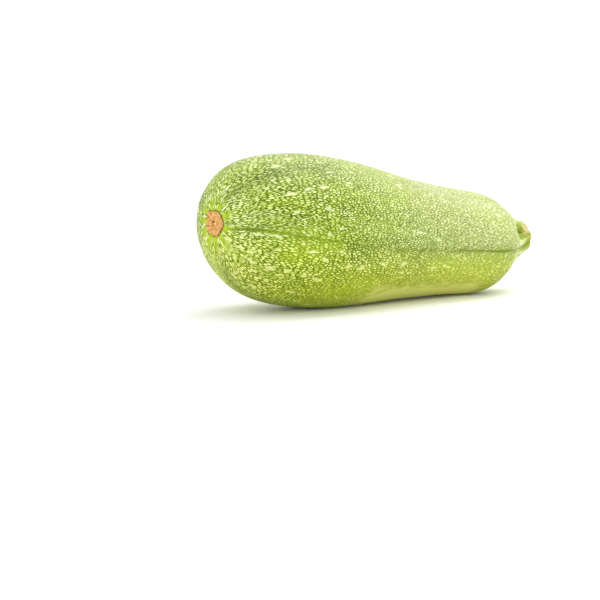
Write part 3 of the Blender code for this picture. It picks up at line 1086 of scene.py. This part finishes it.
# The place of the fibres: the heading, and a little of the way along, so that they are long
heading = attribute(tree, "heading", "Vector")
round_about = add(tree, "ShaderNodeVectorMath", {0: heading, "Scale": 7 * MM}, operation="SCALE")
lift = add(tree, "ShaderNodeCombineXYZ", {"Z": weigh(tree, attribute(tree, "along"), 0.12)})
fibre_place = add(tree, "ShaderNodeVectorMath", {0: round_about.outputs[0], 1: lift.outputs[0]}).outputs[0]
fibre = cloud(tree, fibre_place, 0.7 * MM, 3)
object_place = add(tree, "ShaderNodeTexCoord").outputs["Object"]
uneven = ease(tree, fibre, 0.3, 0.7, -0.2, 0.2)
paleness = calculate(tree, "ADD", attribute(tree, "paleness"), uneven)
colour = mix(tree, ease(tree, paleness, 0.05, 0.85), STEM_OLIVE, RIB_PALE)
# Painted shade in the grooves between the ribs, strongest towards the foot
groove_shade = ease(tree, calculate(tree, "ADD", attribute(tree, "crest"), uneven), 0.45, 0.1)
low_down = ease(tree, up_side, 0.9, 0.3)
colour = mix(tree, weigh(tree, groove_shade, low_down), colour, STEM_GROOVE_SHADE)
streaks = ease(tree, cloud(tree, fibre_place, 0.45 * MM, 1), 0.5, 0.62, 0.0, 0.7)
colour = mix(tree, weigh(tree, streaks, ease(tree, paleness, 0.3, 0.9)), colour, STREAK)
foot = ease(tree, calculate(tree, "ADD", up_side, weigh(tree, uneven, 0.6)), 0.22, 0.02)
colour = mix(tree, weigh(tree, foot, ease(tree, paleness, 0.2, 0.7)), colour, STEM_FOOT_GREEN)
scabby = ease(tree, cloud(tree, object_place, 2.2 * MM), 0.36, 0.5)
colour = mix(tree, weigh(tree, attribute(tree, "scab"), scabby), colour, SCAB_PINK)
colour = mix(tree, attribute(tree, "olive"), colour, STEM_OLIVE)
callus = weigh(tree, attribute(tree, "callus"), ease(tree, scabby, 0.0, 1.0, 0.05, 0.35))
colour = mix(tree, callus, colour, CALLUS_TAN)
grain_of_cut = ease(tree, cloud(tree, object_place, 0.5 * MM, 3), 0.35, 0.65)
cut_colour = mix(tree, grain_of_cut, CUT_BEIGE, CUT_BROWN)
colour = mix(tree, attribute(tree, "cut"), colour, cut_colour)
tree.links.new(colour, shader.inputs["Base Color"])
tree.links.new(ease(tree, fibre, 0.3, 0.7, 0.5, 0.7), shader.inputs["Roughness"])
shader.inputs["Specular IOR Level"].default_value = 0.2
bump = add(tree, "ShaderNodeBump", {"Strength": 0.5, "Distance": 0.15 * MM, "Height": fibre})
tree.links.new(bump.outputs[0], shader.inputs["Normal"])
stem.data.materials.append(stem_fibre)
print("the stem's material has", len(tree.nodes), "nodes")

# %% [markdown]
# ## The blossom scar
#
# Where the flower dropped off, the fruit sealed itself with cork: dry, tan and rough, with five
# corners and a pit in the middle, where a stump of the flower stands. The cage is the plain plug,
# and the roughness is pushed out of it by noise of three sizes. A bump in the material alone would
# be quicker, but it would leave the plug's edge smooth.

# %% The scar's cage
SCAR_RADIUS = 6 * MM
# The rim of the scar spreads by this much over its seat
SCAR_SPREAD = 0.22 * MM
# The pit lies above the middle: it is moved up by this much, and what is round it by less
PIT_RISE = 1.0 * MM
PIT_REACH = 2.5 * MM

scar = copy_of("blossom_scar", "cork_scar")
scar_rings = rings_of(scar)
places = coordinates(scar)
scar_centre = places[scar_rings[0]][0].copy()
for ring in scar_rings[1:-1]:
    middle = places[ring].mean(0)
    out = places[ring] - middle
    radii = np.linalg.norm(out, axis=1)
    places[ring] += out / radii[:, None] * SCAR_SPREAD * (radii / SCAR_RADIUS)[:, None] ** 2
from_axis = np.hypot(places[:, 1] - scar_centre[1], places[:, 2] - scar_centre[2])
places[:, 2] += PIT_RISE * bump_at(from_axis, 0, PIT_REACH)
pit = scar_centre + np.array((0, 0, PIT_RISE))
place_points(scar, places)
subdivide(scar, 3)

# %% Cork
# The size and the height of the cork's lumps
CORK_LUMPS = ((2.4 * MM, 0.28 * MM), (0.9 * MM, 0.2 * MM), (0.4 * MM, 0.1 * MM))
NUB_HEIGHT = 0.9 * MM
NUB_WIDTH = 0.5 * MM
NUB_OFFSET = 0.75 * MM
# The front of the scar is what lies no further than this behind its middle
FRONT_DEPTH = 0.3 * MM
# The pit is smoother: the roughness comes in from this far out, over this width
PIT_RADIUS = 0.6 * MM
PIT_EDGE = 1.5 * MM
PIT_ROUGHNESS = 0.2


def shape_scar(piece):
    """Roughens the cork, and raises the nub in its pit."""
    places = coordinates(piece)
    front = places[:, 0] < scar_centre[0] + FRONT_DEPTH
    from_middle = np.hypot(places[:, 1] - pit[1], places[:, 2] - pit[2])
    height = np.zeros(len(places))
    for size, lump in CORK_LUMPS:
        height += lump * np.array([noise.noise(Vector(place) / size) for place in places])
    height *= np.maximum(ramp(from_middle, PIT_RADIUS, PIT_EDGE), PIT_ROUGHNESS)
    from_nub = np.hypot(places[:, 1] - pit[1] + NUB_OFFSET, places[:, 2] - pit[2])
    height += NUB_HEIGHT * bump_at(from_nub, 0, NUB_WIDTH)
    places[:, 0] -= height * front
    place_points(piece, places)
    store(piece, "from_middle", from_middle)
    store(piece, "nub", bump_at(from_nub, 0, 1.3 * NUB_WIDTH))


shape_scar(scar)
print("the scar has", len(scar.data.polygons), "faces")

# %% The cork's finish
CORK_TAN = srgb(180, 126, 66)
CORK_PALE = srgb(220, 174, 112)
CORK_BROWN = srgb(112, 66, 30)
NUB_STRAW = srgb(232, 196, 110)

cork, tree, shader = new_material("dry_cork")
place = add(tree, "ShaderNodeTexCoord").outputs["Object"]
lumps = cloud(tree, place, 1.2 * MM, 4, 0.65)
specks = cloud(tree, place, 0.7 * MM, 2)
colour = mix(tree, ease(tree, lumps, 0.35, 0.65), CORK_TAN, CORK_PALE)
colour = mix(tree, ease(tree, specks, 0.45, 0.33), colour, CORK_BROWN)
middle = attribute(tree, "from_middle")
# Painted shade in the pit
colour = mix(tree, ease(tree, middle, 1.5 * MM, 0.6 * MM, 0.0, 0.85), colour, CORK_BROWN)
# Painted shade round the rim, where the cork meets the skin
colour = mix(tree, ease(tree, middle, 5.2 * MM, 6.8 * MM, 0.0, 0.5), colour, CORK_BROWN)
colour = mix(tree, attribute(tree, "nub"), colour, NUB_STRAW)
tree.links.new(colour, shader.inputs["Base Color"])
tree.links.new(ease(tree, lumps, 0.3, 0.7, 0.75, 0.92), shader.inputs["Roughness"])
shader.inputs["Specular IOR Level"].default_value = 0.2
bump = add(tree, "ShaderNodeBump", {"Strength": 0.6, "Distance": 0.15 * MM, "Height": lumps})
tree.links.new(bump.outputs[0], shader.inputs["Normal"])
scar.data.materials.append(cork)
print("the cork has", len(tree.nodes), "nodes")

# %% [markdown]
# ## In place of the plain solids
#
# Each dressed piece takes the place of its plain solid, which is hidden, and rides on the root body.

# %% Pieces and solids
for piece, node, slot in (
    (skin, "fruit", "skin"),
    (stem, "stem", "stem"),
    (scar, "blossom_scar", "scar"),
):
    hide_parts(node)
    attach(piece, "root")
